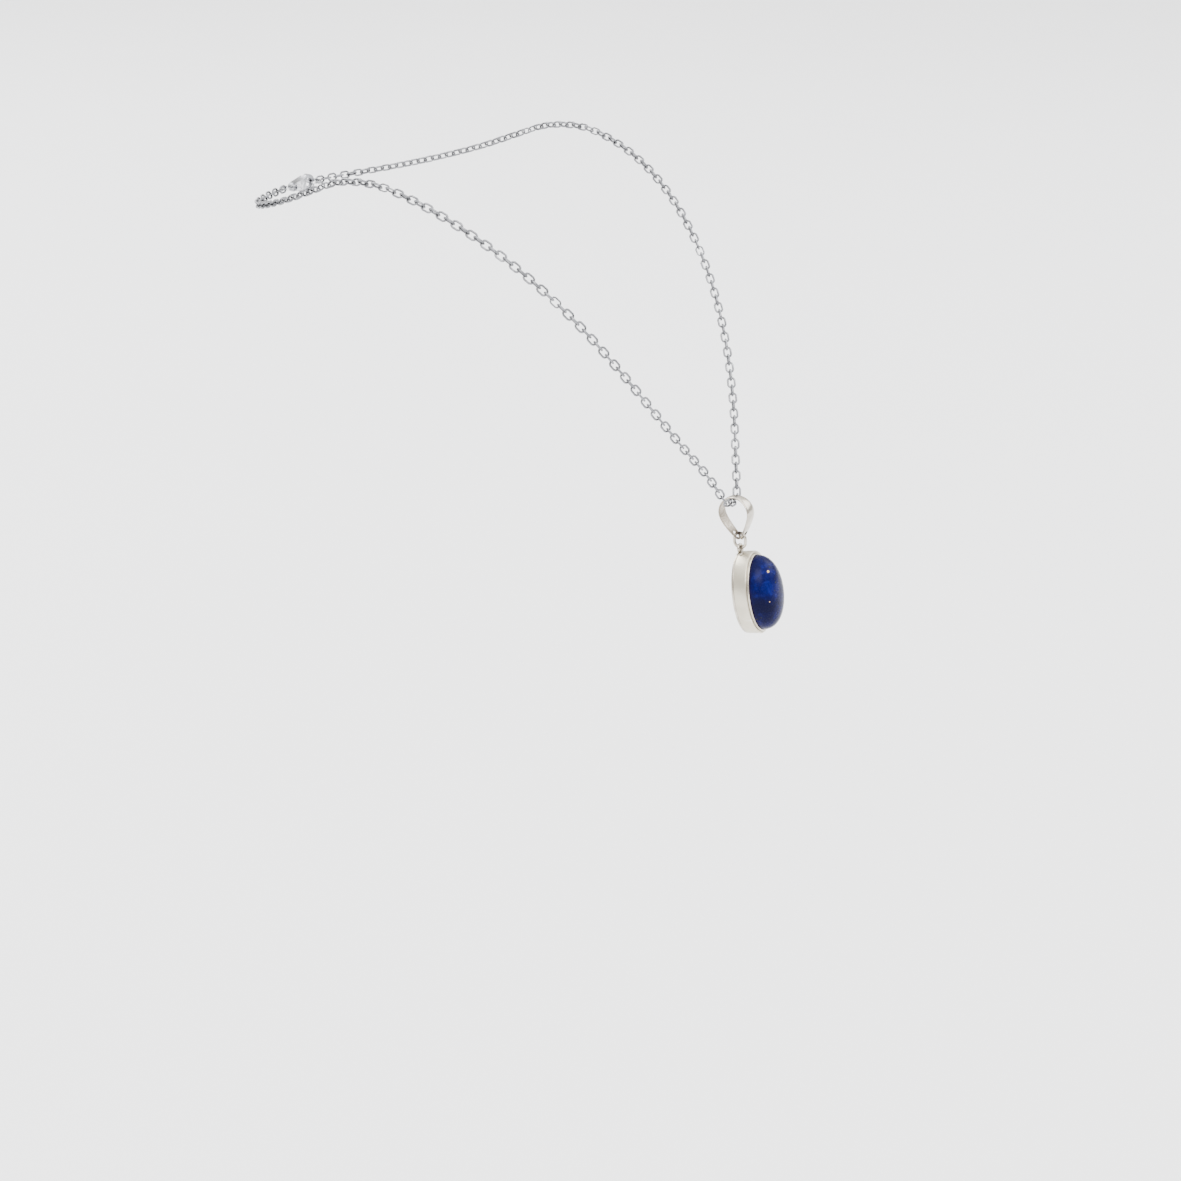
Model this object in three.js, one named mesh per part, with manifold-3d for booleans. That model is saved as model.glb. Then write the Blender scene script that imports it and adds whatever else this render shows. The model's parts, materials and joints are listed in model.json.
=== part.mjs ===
// Pendant necklace: a cable chain worn round a neck, a folded bail, an oval drop ring and
// an oval cabochon in a box bezel, closed behind the neck by a sprung claw clasp.
// Millimetres. +Z is up, the wearer faces -Y, and the origin is the middle of the chain
// at the back of the neck.
import * as THREE from 'three';
import { mergeVertices } from 'three/addons/utils/BufferGeometryUtils.js';
import Module from 'manifold-3d';

const wasm = await Module();
wasm.setup();

// ---------- driving dimensions ----------
const linkWidth = 2.4;
const linkWire = 0.55;
const linkSlack = 0.11;
const linksPerSide = 100;
const claspHalfSpan = 6.83;
const linkRoll = 45;
const endTwist = 45;
const endTwistLinks = 8;

const bailTilt = 14.9;
const ringTilt = 5;
const pendantTilt = 13.5;
const pendantYaw = 5;

const bailForward = 0.69;
const bailWidest = 2.56;
const bailHalfDepth = 4.28;
const bailCrown = 4.04;
const bailStrip = 0.61;
const bailEyeDrop = 8.76;
const bailEyeRadius = 0.95;
const bailEndRadius = 1.42;
const bailEndDrop = 8.68;
const bailBelly = 2.55;
const bailFlare = 0.7;
const bailLegRise = 1.19;
const bailOuterTip = { half: 0.45, drop: 10.1 };
const bailInnerTip = { half: 0.04, drop: 9.62 };
const bailFrontCrown = { half: 0.95, height: 2.6 };
const bailFrontShoulder = { half: 1.7, height: 0.5 };
const bailFrontFlank = { half: 2.1, height: -4 };

const ringHalfWidth = 1.625;
const ringWireRadius = 0.4;
const ringHeight = 4.02;
const ringRise = 0.35;

const bezelHalfWidth = 7.7;
const bezelHalfHeight = 11.2;
const wallThickness = 0.57;
const lipThickness = 0.4;
const fitGap = 0.03;
const plateThickness = 0.7;
const wallTop = 4.2;
const lipTop = 4.75;
const stoneTop = 10.3;
const stoneGirdle = 4.3;
const stoneFullness = 2.4;
const loopRadius = 1.0;
const loopWireRadius = 0.35;
const loopCentre = 12.25;
const loopDepth = 0.7;

const claspThickness = 2.4;
const hookThickness = 1.2;
const slotWidth = 1.2;
const hookRadius = 2.5;
const cavityRadius = 1.5;
const hookCentre = 2.0;
const eyeCentre = -4.2;
const eyeRadius = 1.25;
const eyeHole = 0.75;
const pivotX = -1.9;
const pivotZ = -0.5;
const pinRadius = 0.3;
const leverThickness = 0.7;
const claspRingRadius = 1.65;
const claspRingWire = 0.35;
const endRingRadius = 1.9;
const endRingWire = 0.4;

// The chain's centre line, from the bail up the wearer's right side (-X) and round to the
// back of the neck. The other side is its mirror image.
const routePoints = [
  [0, -143.8, -61.05],
  [-1.5, -143.8, -61.05],
  [-2.9, -143.5, -60.35],
  [-4.6, -142.3, -57.3],
  [-7.6, -140.0, -52.0],
  [-14.1, -135.2, -42.4],
  [-20.0, -129.9, -32.5],
  [-25.3, -124.0, -22.8],
  [-30.1, -117.1, -13.3],
  [-34.6, -109.0, -4.5],
  [-38.7, -99.7, 3.4],
  [-42.2, -89.1, 10.0],
  [-44.4, -77.6, 14.9],
  [-45.3, -65.3, 17.6],
  [-44.9, -53.7, 16.6],
  [-44.1, -43.8, 12.9],
  [-42.2, -33.0, 8.5],
  [-38.0, -22.5, 4.9],
  [-31.0, -13.0, 2.2],
  [-22.0, -5.9, 0.7],
  [-11.0, -1.4, 0.1],
  [0, 0, 0],
];

// Links that are modelled one by one: at the bail, at the three places where the chain
// hinges, and at the clasp. Plain runs stand between them.
const bailLinks = 8;
const bendLink = 34;
const shoulderLink = 58;
const napeLink = 68;
const claspLinks = 3;
const runGap = 0.3;
const runStep = 5.5;

// ---------- materials ----------
function metal(colour, roughness) {
  return new THREE.MeshStandardMaterial({ color: colour, metalness: 1, roughness });
}

const chainSteel = () => metal(0xc9ccd0, 0.22);
const polishedSilver = () => metal(0xd9d4cb, 0.18);
const claspSteel = () => metal(0xc4c7cc, 0.25);
const lapis = () => new THREE.MeshStandardMaterial({ color: 0x14246e, metalness: 0, roughness: 0.18 });

// ---------- helpers ----------
const degrees = THREE.MathUtils.degToRad;
const sideways = new THREE.Vector3(1, 0, 0);

function named(name, geometry, material) {
  const mesh = new THREE.Mesh(geometry, material);
  mesh.name = name;
  return mesh;
}

function toSolid(geometry) {
  const bare = geometry.clone();
  bare.deleteAttribute('normal');
  bare.deleteAttribute('uv');
  const merged = mergeVertices(bare, 1e-5);
  return new wasm.Manifold(new wasm.Mesh({
    numProp: 3,
    vertProperties: new Float32Array(merged.attributes.position.array),
    triVerts: new Uint32Array(merged.index.array),
  }));
}

function toGeometry(solid) {
  const mesh = solid.getMesh();
  const geometry = new THREE.BufferGeometry();
  geometry.setAttribute('position', new THREE.BufferAttribute(mesh.vertProperties, 3));
  geometry.setIndex(new THREE.BufferAttribute(mesh.triVerts, 1));
  geometry.computeVertexNormals();
  return geometry;
}

// A flat outline drawn in (y, z) and given a thickness along X, centred on x = 0.
function slabAcrossX(shape, thickness, segments) {
  const settings = { depth: thickness, bevelEnabled: false, curveSegments: segments };
  const geometry = new THREE.ExtrudeGeometry(shape, settings);
  geometry.translate(0, 0, -thickness / 2);
  const toYZX = new THREE.Matrix4().makeBasis(
    new THREE.Vector3(0, 1, 0),
    new THREE.Vector3(0, 0, 1),
    new THREE.Vector3(1, 0, 0),
  );
  return geometry.applyMatrix4(toYZX);
}

// A flat outline drawn in (x, z) and given a thickness along Y, centred on y = 0.
function slabAcrossY(shape, thickness, segments) {
  const settings = { depth: thickness, bevelEnabled: false, curveSegments: segments };
  const geometry = new THREE.ExtrudeGeometry(shape, settings);
  geometry.translate(0, 0, -thickness / 2);
  return geometry.rotateX(Math.PI / 2);
}

function cylinderAlongY(radius, length, x, z, segments) {
  const geometry = new THREE.CylinderGeometry(radius, radius, length, segments);
  return geometry.translate(x, 0, z);
}

// An oval wire ring in the XY plane, its round ends spread apart along X.
function ovalRing(endRadius, wireRadius, spread, wireSides, steps) {
  const geometry = new THREE.TorusGeometry(endRadius, wireRadius, wireSides, steps);
  geometry.rotateZ(Math.PI / steps);
  const position = geometry.attributes.position;
  for (let i = 0; i < position.count; i += 1) {
    const x = position.getX(i);
    position.setX(i, x + Math.sign(x) * spread);
  }
  return geometry;
}

// ---------- the chain's centre line ----------
const leftSide = routePoints.map((p) => new THREE.Vector3(...p));
const rightSide = leftSide.slice(1, -1).reverse().map((p) => new THREE.Vector3(-p.x, p.y, p.z));
const route = new THREE.CatmullRomCurve3([...leftSide, ...rightSide], true, 'centripetal');
route.arcLengthDivisions = 4000;
const routeLength = route.getLength();
const pitch = (routeLength / 2 - claspHalfSpan) / (linksPerSide + 0.5);

// A point on the centre line, at a distance from the bail; side is -1 or 1.
function pointAt(distance, side) {
  const point = route.getPointAt(distance / routeLength);
  point.x *= -side;
  return point;
}

// ---------- chain ----------
const linkLength = pitch + 2 * linkWire + linkSlack;
const linkSpread = (linkLength - linkWidth) / 2;
const linkGeometry = ovalRing((linkWidth - linkWire) / 2, linkWire / 2, linkSpread, 6, 12);

// Every other link is turned by a right angle; the last few twist to meet the clasp's rings.
function rollOf(index) {
  const sign = index % 2 === 0 ? 1 : -1;
  const twist = Math.max(0, (index - linksPerSide + endTwistLinks) / endTwistLinks) * endTwist;
  return degrees(sign * linkRoll + twist);
}

function chainLink(name, index, side) {
  const start = pointAt(Math.abs(index - 0.5) * pitch, index === 0 ? -side : side);
  const end = pointAt((index + 0.5) * pitch, side);
  const along = end.clone().sub(start).normalize();
  const outward = new THREE.Vector3().crossVectors(sideways, along).multiplyScalar(-side);
  if (index === 0) {
    outward.set(0, -1, 0);
  }
  outward.normalize();
  const across = new THREE.Vector3().crossVectors(outward, along).multiplyScalar(-side);
  const roll = rollOf(index);
  const width = across.multiplyScalar(Math.cos(roll)).addScaledVector(outward, Math.sin(roll));
  const face = new THREE.Vector3().crossVectors(along, width);
  const mesh = named(name, linkGeometry.clone(), chainSteel());
  mesh.quaternion.setFromRotationMatrix(new THREE.Matrix4().makeBasis(along, width, face));
  mesh.position.copy(start.add(end).multiplyScalar(0.5));
  return mesh;
}

// A plain run that fills the chain's width between two links that are modelled.
function chainRun(name, firstLink, lastLink, side) {
  const reach = linkWire + linkSlack / 2 + runGap;
  const start = (firstLink + 0.5) * pitch + reach;
  const end = (lastLink - 0.5) * pitch - reach;
  const steps = Math.ceil((end - start) / runStep);
  const stations = [];
  for (let i = 0; i <= steps; i += 1) {
    stations.push(pointAt(start + ((end - start) * i) / steps, side));
  }
  const section = new THREE.Shape();
  section.absarc(0, 0, linkWidth / 2, 0, 2 * Math.PI, false);
  const path = new THREE.CatmullRomCurve3(stations, false, 'centripetal');
  const settings = { steps, extrudePath: path, bevelEnabled: false, curveSegments: 8 };
  return named(name, new THREE.ExtrudeGeometry(section, settings), chainSteel());
}

function chainSide(word, side) {
  const pieces = new THREE.Group();
  for (let index = 1; index <= bailLinks; index += 1) {
    pieces.add(chainLink(`${word}_bail_link_${index}`, index, side));
  }
  pieces.add(chainLink(`${word}_bend_link_lower`, bendLink, side));
  pieces.add(chainLink(`${word}_bend_link_upper`, bendLink + 1, side));
  pieces.add(chainLink(`${word}_shoulder_link_front`, shoulderLink, side));
  pieces.add(chainLink(`${word}_shoulder_link_back`, shoulderLink + 1, side));
  pieces.add(chainLink(`${word}_nape_link_front`, napeLink, side));
  pieces.add(chainLink(`${word}_nape_link_back`, napeLink + 1, side));
  for (let back = claspLinks - 1; back >= 0; back -= 1) {
    pieces.add(chainLink(`${word}_clasp_link_${back + 1}`, linksPerSide - back, side));
  }
  pieces.add(chainRun(`${word}_lower_chain`, bailLinks, bendLink, side));
  pieces.add(chainRun(`${word}_upper_chain`, bendLink + 1, shoulderLink, side));
  pieces.add(chainRun(`${word}_shoulder_chain`, shoulderLink + 1, napeLink, side));
  pieces.add(chainRun(`${word}_nape_chain`, napeLink + 1, linksPerSide - claspLinks + 1, side));
  return pieces;
}

// ---------- bail ----------
// The strip's side view is a teardrop with an oval crown and legs that close in a V. Its
// front view is narrow at the crown, wider below it, and rounded at the pierced ends.
function bailSide(halfDepth, crown, tip) {
  const shape = new THREE.Shape();
  const legStart = -bailWidest - bailBelly;
  const legEnd = -tip.drop + bailLegRise;
  const flared = tip.half + bailFlare;
  shape.absellipse(0, -bailWidest, halfDepth, crown, 0, Math.PI, false, 0);
  shape.bezierCurveTo(-halfDepth, legStart, -flared, legEnd, -tip.half, -tip.drop);
  shape.lineTo(tip.half, -tip.drop);
  shape.bezierCurveTo(flared, legEnd, halfDepth, legStart, halfDepth, -bailWidest);
  return shape;
}

function bailFront() {
  const shape = new THREE.Shape();
  const crown = bailFrontCrown;
  const shoulder = bailFrontShoulder;
  const flank = bailFrontFlank;
  const end = -bailEndDrop;
  shape.moveTo(-crown.half, crown.height);
  shape.bezierCurveTo(-shoulder.half, shoulder.height, -flank.half, flank.height, -bailEndRadius, end);
  shape.absarc(0, end, bailEndRadius, Math.PI, 2 * Math.PI, false);
  shape.bezierCurveTo(flank.half, flank.height, shoulder.half, shoulder.height, crown.half, crown.height);
  return shape;
}

function bail() {
  const half = bailStrip / 2;
  const overWide = 4 * bailEndRadius;
  const outerSide = bailSide(bailHalfDepth + half, bailCrown + half, bailOuterTip);
  const innerSide = bailSide(bailHalfDepth - half, bailCrown - half, bailInnerTip);
  const outer = toSolid(slabAcrossX(outerSide, overWide, 10));
  const inner = toSolid(slabAcrossX(innerSide, 2 * overWide, 10));
  const front = toSolid(slabAcrossY(bailFront(), 2 * overWide, 8));
  const eye = toSolid(cylinderAlongY(bailEyeRadius, 2 * overWide, 0, -bailEyeDrop, 16));
  return toGeometry(outer.subtract(inner).intersect(front).subtract(eye));
}

// ---------- pendant ----------
// A ring that follows an oval: each point of the section is (outward from the oval's edge,
// height), so the ring's thickness is the same all round.
function ovalSection(section, halfWidth, halfHeight, steps) {
  const base = 20;
  const profile = section.map(([out, up]) => new THREE.Vector2(base + out, up));
  profile.push(profile[0].clone());
  const geometry = new THREE.LatheGeometry(profile, steps);
  geometry.rotateX(Math.PI / 2);
  const position = geometry.attributes.position;
  for (let i = 0; i < position.count; i += 1) {
    const x = position.getX(i);
    const y = position.getY(i);
    const distance = Math.hypot(x, y);
    position.setX(i, (x / distance) * (halfWidth + distance - base));
    position.setY(i, (y / distance) * (halfHeight + distance - base));
  }
  return geometry;
}

function ovalPlate(halfWidth, halfHeight, thickness, segments) {
  const shape = new THREE.Shape();
  shape.absellipse(0, 0, halfWidth, halfHeight, 0, 2 * Math.PI, false, 0);
  const settings = { depth: thickness, bevelEnabled: false, curveSegments: segments };
  return new THREE.ExtrudeGeometry(shape, settings);
}

// The cabochon: a straight girdle under a full, squarish dome.
function cabochon(halfWidth, halfHeight) {
  const domeSteps = 9;
  const floor = plateThickness + fitGap;
  const profile = [new THREE.Vector2(0, floor), new THREE.Vector2(1, floor)];
  for (let i = 0; i < domeSteps; i += 1) {
    const angle = (i / domeSteps) * (Math.PI / 2);
    const out = Math.cos(angle) ** (2 / stoneFullness);
    const up = Math.sin(angle) ** (2 / stoneFullness);
    profile.push(new THREE.Vector2(out, stoneGirdle + (stoneTop - stoneGirdle) * up));
  }
  profile.push(new THREE.Vector2(0, stoneTop));
  const geometry = new THREE.LatheGeometry(profile, 36);
  geometry.rotateX(Math.PI / 2);
  return geometry.scale(halfWidth, halfHeight, 1);
}

// The small ring soldered on the bezel's top, with a foot shaped to the wall.
function bezelLoop() {
  const ring = new THREE.TorusGeometry(loopRadius, loopWireRadius, 8, 20);
  ring.translate(0, loopCentre, loopDepth);
  const footShape = new THREE.Shape();
  footShape.moveTo(-1.5, bezelHalfHeight - 0.6);
  footShape.lineTo(1.5, bezelHalfHeight - 0.6);
  footShape.lineTo(1.5, bezelHalfHeight - 0.05);
  footShape.quadraticCurveTo(0.9, bezelHalfHeight + 0.35, 0, bezelHalfHeight + 0.35);
  footShape.quadraticCurveTo(-0.9, bezelHalfHeight + 0.35, -1.5, bezelHalfHeight - 0.05);
  const footSettings = { depth: 1.3, bevelEnabled: false, curveSegments: 4 };
  const foot = new THREE.ExtrudeGeometry(footShape, footSettings);
  foot.translate(0, 0, loopDepth - 0.65);
  const bezel = ovalPlate(bezelHalfWidth + fitGap, bezelHalfHeight + fitGap, 8, 48);
  bezel.translate(0, 0, -2);
  return toGeometry(toSolid(ring).add(toSolid(foot)).subtract(toSolid(bezel)));
}

function pendantPieces() {
  const wallInner = wallThickness + fitGap;
  const lipInner = wallInner + lipThickness;
  const floor = plateThickness + fitGap;
  const stoneInset = lipInner + fitGap;
  const wallSection = [
    [-wallThickness, floor],
    [0, floor],
    [0, wallTop - 0.15],
    [-0.15, wallTop],
    [-wallThickness, wallTop],
  ];
  const lipSection = [
    [-lipInner, floor],
    [-wallInner, floor],
    [-wallInner, lipTop - 0.2],
    [-wallInner - 0.12, lipTop],
    [-lipInner, lipTop],
  ];
  const silver = polishedSilver;
  const pieces = new THREE.Group();
  const plate = ovalPlate(bezelHalfWidth, bezelHalfHeight, plateThickness, 24);
  const wall = ovalSection(wallSection, bezelHalfWidth, bezelHalfHeight, 48);
  const lip = ovalSection(lipSection, bezelHalfWidth, bezelHalfHeight, 48);
  const stone = cabochon(bezelHalfWidth - stoneInset, bezelHalfHeight - stoneInset);
  pieces.add(named('bezel_back_plate', plate, silver()));
  pieces.add(named('bezel_wall', wall, silver()));
  pieces.add(named('bezel_lip', lip, silver()));
  pieces.add(named('cabochon_stone', stone, lapis()));
  pieces.add(named('bezel_loop', bezelLoop(), silver()));
  return pieces;
}

// Where the drop ring's wire lies in the bezel's loop, in the pendant's own frame.
const hangHeight = loopCentre + loopRadius - loopWireRadius - ringWireRadius - 0.04;
const hangPoint = new THREE.Vector3(0, hangHeight, loopDepth);

// A direction in the YZ plane, so many degrees forward of straight down.
function downTilted(angle) {
  return new THREE.Vector3(0, -Math.sin(degrees(angle)), -Math.cos(degrees(angle)));
}

function hangingPieces() {
  const pieces = new THREE.Group();
  const top = pointAt(0, 1);
  const bailMesh = named('bail', bail(), polishedSilver());
  const forward = new THREE.Vector3(0, -Math.cos(degrees(bailTilt)), Math.sin(degrees(bailTilt)));
  bailMesh.position.copy(top).addScaledVector(forward, bailForward);
  bailMesh.rotation.x = -degrees(bailTilt);
  pieces.add(bailMesh);

  const eyeReach = bailEyeDrop - ringRise;
  const ringTop = bailMesh.position.clone().addScaledVector(downTilted(bailTilt), eyeReach);
  const ringEnd = ringTop.clone().addScaledVector(downTilted(ringTilt), ringHeight);
  const ringSpread = ringHeight / 2 - ringHalfWidth;
  const ringGeometry = ovalRing(ringHalfWidth, ringWireRadius, ringSpread, 8, 20);
  ringGeometry.rotateY(Math.PI / 2);
  const ringMesh = named('drop_ring', ringGeometry, polishedSilver());
  ringMesh.position.copy(ringTop).add(ringEnd).multiplyScalar(0.5);
  ringMesh.rotation.x = -degrees(ringTilt);
  pieces.add(ringMesh);

  const pendant = pendantPieces();
  pendant.rotation.set(Math.PI / 2 - degrees(pendantTilt), degrees(pendantYaw), 0);
  pendant.position.copy(ringEnd).sub(hangPoint.clone().applyEuler(pendant.rotation));
  pieces.add(pendant);
  return pieces;
}

// ---------- clasp ----------
// Drawn in (x, z) with the eye on the left and the hook on the right, mouth downwards.
function hookArm() {
  const shape = new THREE.Shape();
  shape.absarc(hookCentre, 0, hookRadius, degrees(-95), degrees(140), false);
  shape.absarc(hookCentre, 0, cavityRadius, degrees(140), degrees(-95), true);
  return slabAcrossY(shape, hookThickness, 20);
}

function claspBlock() {
  const shape = new THREE.Shape();
  shape.moveTo(-3.7, -1.1);
  shape.quadraticCurveTo(-2, -1.6, -0.5, -1.35);
  shape.lineTo(0.3, -0.85);
  shape.lineTo(0.4, 0.95);
  shape.lineTo(0.95, 1.2);
  shape.lineTo(0.75, 2.15);
  shape.quadraticCurveTo(-1.2, 1.7, -3.7, 1.1);
  return slabAcrossY(shape, claspThickness, 8);
}

function claspBody() {
  const tipAngle = degrees(-95);
  const tipReach = (hookRadius + cavityRadius) / 2;
  const tipX = hookCentre + tipReach * Math.cos(tipAngle);
  const tipZ = tipReach * Math.sin(tipAngle);
  const tip = toSolid(cylinderAlongY((hookRadius - cavityRadius) / 2, hookThickness, tipX, tipZ, 16));
  const eye = toSolid(cylinderAlongY(eyeRadius, hookThickness, eyeCentre, 0, 24));
  const hole = toSolid(cylinderAlongY(eyeHole, 4, eyeCentre, 0, 20));
  const pinHole = toSolid(cylinderAlongY(pinRadius + fitGap, 4, pivotX, pivotZ, 12));
  const slot = new THREE.BoxGeometry(3.95, slotWidth, 3.95);
  slot.translate(-0.775, 0, -1.025);
  const block = toSolid(claspBlock()).subtract(toSolid(slot)).subtract(pinHole);
  return toGeometry(block.add(toSolid(hookArm())).add(tip).add(eye).subtract(hole));
}

// The gate: a hub on the pin, a bar that shuts the mouth, and a nub for the thumb.
function claspLever() {
  const shape = new THREE.Shape();
  const hubRadius = 0.7;
  shape.moveTo(pivotX, pivotZ + hubRadius);
  shape.lineTo(1.65, -0.74);
  shape.absarc(1.7, -1.06, 0.32, degrees(90), degrees(-90), true);
  shape.lineTo(-0.2, -1.6);
  shape.lineTo(-0.35, -2.2);
  shape.lineTo(-1.05, -2.2);
  shape.lineTo(-1.5, -1.25);
  shape.absarc(pivotX, pivotZ, hubRadius, degrees(-70), degrees(90), true);
  const bar = toSolid(slabAcrossY(shape, leverThickness, 8));
  const hole = toSolid(cylinderAlongY(pinRadius + 0.05, 4, pivotX, pivotZ, 12));
  return toGeometry(bar.subtract(hole));
}

function claspPieces() {
  const pieces = new THREE.Group();
  const bodyMesh = named('clasp_body', claspBody(), claspSteel());
  const leverMesh = named('clasp_lever', claspLever(), claspSteel());
  leverMesh.position.y = -0.15;
  const pin = cylinderAlongY(pinRadius, claspThickness, pivotX, pivotZ, 12);
  const pinMesh = named('clasp_pin', pin, claspSteel());
  const spring = new THREE.TorusGeometry(0.5, 0.12, 6, 14);
  spring.rotateX(Math.PI / 2);
  const springMesh = named('clasp_spring', spring, claspSteel());
  springMesh.position.set(pivotX, 0.4, pivotZ);
  const claspRing = new THREE.TorusGeometry(claspRingRadius, claspRingWire, 8, 20);
  const claspRingMesh = named('clasp_ring', claspRing, claspSteel());
  claspRingMesh.position.x = eyeCentre - 0.2 - claspRingRadius;
  const endRing = new THREE.TorusGeometry(endRingRadius, endRingWire, 8, 20);
  const endRingMesh = named('end_ring', endRing, claspSteel());
  endRingMesh.position.x = hookCentre + 0.95 + endRingRadius;
  pieces.add(bodyMesh, leverMesh, pinMesh, springMesh, claspRingMesh, endRingMesh);
  pieces.position.set(0.5, pointAt(routeLength / 2 - claspHalfSpan, 1).y, 0);
  return pieces;
}

// ---------- the necklace ----------
const necklace = new THREE.Group();
necklace.add(chainLink('centre_link', 0, -1));
necklace.add(chainSide('right', -1));
necklace.add(chainSide('left', 1));
necklace.add(hangingPieces());
necklace.add(claspPieces());
necklace.updateMatrixWorld(true);

export default necklace;
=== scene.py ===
# Pendant necklace, worn round a neck: cable chain, folded bail, drop ring, an oval
# lapis cabochon in a box bezel, and a sprung claw clasp at the nape.
# Shapes are worked out in millimetres and stored in metres.
import json
import math

import bmesh
import bpy
import numpy as np
from mathutils import Matrix, Vector


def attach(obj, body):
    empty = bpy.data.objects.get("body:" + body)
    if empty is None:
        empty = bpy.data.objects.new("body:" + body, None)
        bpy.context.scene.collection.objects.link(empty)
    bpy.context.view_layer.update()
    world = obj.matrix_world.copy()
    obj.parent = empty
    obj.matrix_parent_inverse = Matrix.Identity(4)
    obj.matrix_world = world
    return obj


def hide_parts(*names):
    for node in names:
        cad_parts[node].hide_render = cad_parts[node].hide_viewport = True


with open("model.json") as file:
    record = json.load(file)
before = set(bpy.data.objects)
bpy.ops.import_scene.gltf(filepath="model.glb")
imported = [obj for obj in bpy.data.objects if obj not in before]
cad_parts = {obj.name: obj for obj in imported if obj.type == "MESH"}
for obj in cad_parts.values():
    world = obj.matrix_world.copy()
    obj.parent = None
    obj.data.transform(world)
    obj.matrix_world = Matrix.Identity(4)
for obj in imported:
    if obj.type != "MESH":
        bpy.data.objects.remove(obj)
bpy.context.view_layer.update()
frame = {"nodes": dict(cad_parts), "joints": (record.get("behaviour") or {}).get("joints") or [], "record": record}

mm = 0.001
jointPlace = {j["name"]: np.array(j["pos_m"]) / mm for j in frame["joints"]}
bodyOfNode = {
    node: body
    for body, nodes in frame["record"]["behaviour"]["bodies"].items()
    for node in nodes
}
print("frame loaded:", len(frame["nodes"]), "nodes")

# ---- camera ----
camera = {
    "azimuth": -57.557,
    "elevation": 25.813,
    "roll": 1.629,
    "place": (-0.38192, -0.34394, 0.12025),
    "lens": 54.87,
    "sensor": 36.0,
}


def placeCamera():
    # right = (cos a, sin a, 0), back = (sin a cos e, -cos a cos e, sin e), up = back x right,
    # then right and up turn about back by the roll
    a, e, r = (math.radians(camera[k]) for k in ("azimuth", "elevation", "roll"))
    right = Vector((math.cos(a), math.sin(a), 0))
    back = Vector((math.sin(a) * math.cos(e), -math.cos(a) * math.cos(e), math.sin(e)))
    up = back.cross(right)
    turned = right * math.cos(r) + up * math.sin(r)
    raised = up * math.cos(r) - right * math.sin(r)
    data = bpy.data.cameras.new("studioCamera")
    data.lens, data.sensor_width = camera["lens"], camera["sensor"]
    data.clip_start, data.clip_end = 0.01, 20
    made = bpy.data.objects.new("studioCamera", data)
    bpy.context.scene.collection.objects.link(made)
    matrix = Matrix((turned, raised, back)).transposed().to_4x4()
    matrix.translation = Vector(camera["place"])
    made.matrix_world = matrix
    bpy.context.scene.camera = made


placeCamera()
print("camera placed")

# ---- node groups and materials ----


def addNode(tree, kind, **values):
    # a node with its properties set, and its unlinked inputs by name or number
    node = tree.nodes.new(kind)
    for key, value in values.get("props", {}).items():
        setattr(node, key, value)
    for key, value in values.get("inputs", {}).items():
        node.inputs[key].default_value = value
    return node


def newGroup(name, inputs, outputs):
    group = bpy.data.node_groups.new(name, "ShaderNodeTree")
    for label, kind, start in inputs:
        made = group.interface.new_socket(label, in_out="INPUT", socket_type=kind)
        if start is not None:
            made.default_value = start
    for label, kind in outputs:
        group.interface.new_socket(label, in_out="OUTPUT", socket_type=kind)
    return group, group.nodes.new("NodeGroupInput"), group.nodes.new("NodeGroupOutput")


def scratchGroup():
    # hairlines where a noise stretched along one axis passes through its middle value
    group, into, out = newGroup(
        "hairScratches",
        [
            ("Vector", "NodeSocketVector", None),
            ("Fineness", "NodeSocketFloat", 1.0),
            ("Width", "NodeSocketFloat", 0.02),
        ],
        [("Mask", "NodeSocketFloat")],
    )
    masks = []
    for turn, stretch in (((0.2, 0.5, 0.4), (260, 5200, 5200)), ((0.9, -0.4, 1.9), (3900, 330, 3900))):
        place = addNode(group, "ShaderNodeMapping", inputs={"Rotation": turn, "Scale": stretch})
        noise = addNode(group, "ShaderNodeTexNoise", inputs={"Detail": 2.0, "Roughness": 0.55})
        middle = addNode(group, "ShaderNodeMath", props={"operation": "SUBTRACT"}, inputs={1: 0.5})
        size = addNode(group, "ShaderNodeMath", props={"operation": "ABSOLUTE"})
        line = addNode(group, "ShaderNodeMapRange", inputs={"From Min": 0.0, "To Min": 1.0, "To Max": 0.0})
        group.links.new(into.outputs["Vector"], place.inputs["Vector"])
        group.links.new(place.outputs["Vector"], noise.inputs["Vector"])
        group.links.new(into.outputs["Fineness"], noise.inputs["Scale"])
        group.links.new(noise.outputs["Fac"], middle.inputs[0])
        group.links.new(middle.outputs[0], size.inputs[0])
        group.links.new(size.outputs[0], line.inputs["Value"])
        group.links.new(into.outputs["Width"], line.inputs["From Max"])
        masks.append(line)
    both = addNode(group, "ShaderNodeMath", props={"operation": "MAXIMUM"})
    group.links.new(masks[0].outputs["Result"], both.inputs[0])
    group.links.new(masks[1].outputs["Result"], both.inputs[1])
    group.links.new(both.outputs[0], out.inputs["Mask"])
    return group


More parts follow.
